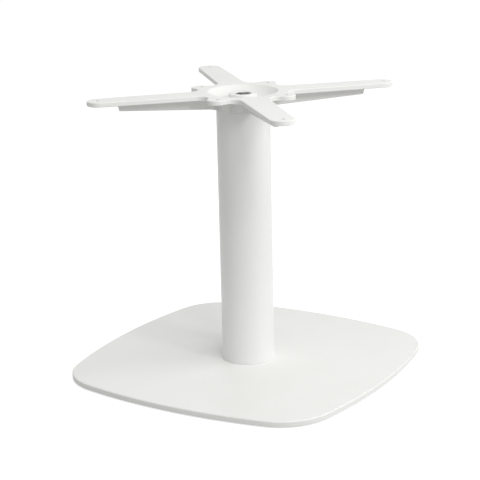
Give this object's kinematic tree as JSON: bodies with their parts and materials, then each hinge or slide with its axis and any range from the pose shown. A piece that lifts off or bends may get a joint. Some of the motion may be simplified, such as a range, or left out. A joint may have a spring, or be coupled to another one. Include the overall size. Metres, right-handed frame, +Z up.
{
  "type": "coffee table base",
  "caption": "Low pedestal base with a flat foot plate, a round column and a cast spider that screws under a coffee table top.",
  "frame": {"origin": "on the floor, under the middle of the column", "axes": "+Z up along the column, X and Y along the sides of the foot plate, long arms of the spider on the diagonals"},
  "size_m": [0.4398, 0.4398, 0.405],
  "materials": {
    "plate_coat": "satin white powder coat",
    "tube_coat": "satin white powder coat",
    "spider_coat": "satin white powder coat on a casting",
    "zinc_steel": "dull zinc plate",
    "dark_steel": "black oxide",
    "bare_steel": "plain cut steel",
    "glide_plastic": "matte"
  },
  "bodies": {
    "root": {"base_plate": "plate_coat", "column_tube": "tube_coat", "top_spider": "spider_coat", "top_nut": "dark_steel", "top_washer": "dark_steel", "tie_rod": "zinc_steel", "lock_nut": "zinc_steel", "centring_disc": "bare_steel", "floor_glides": "glide_plastic"}
  },
  "joints": []
}
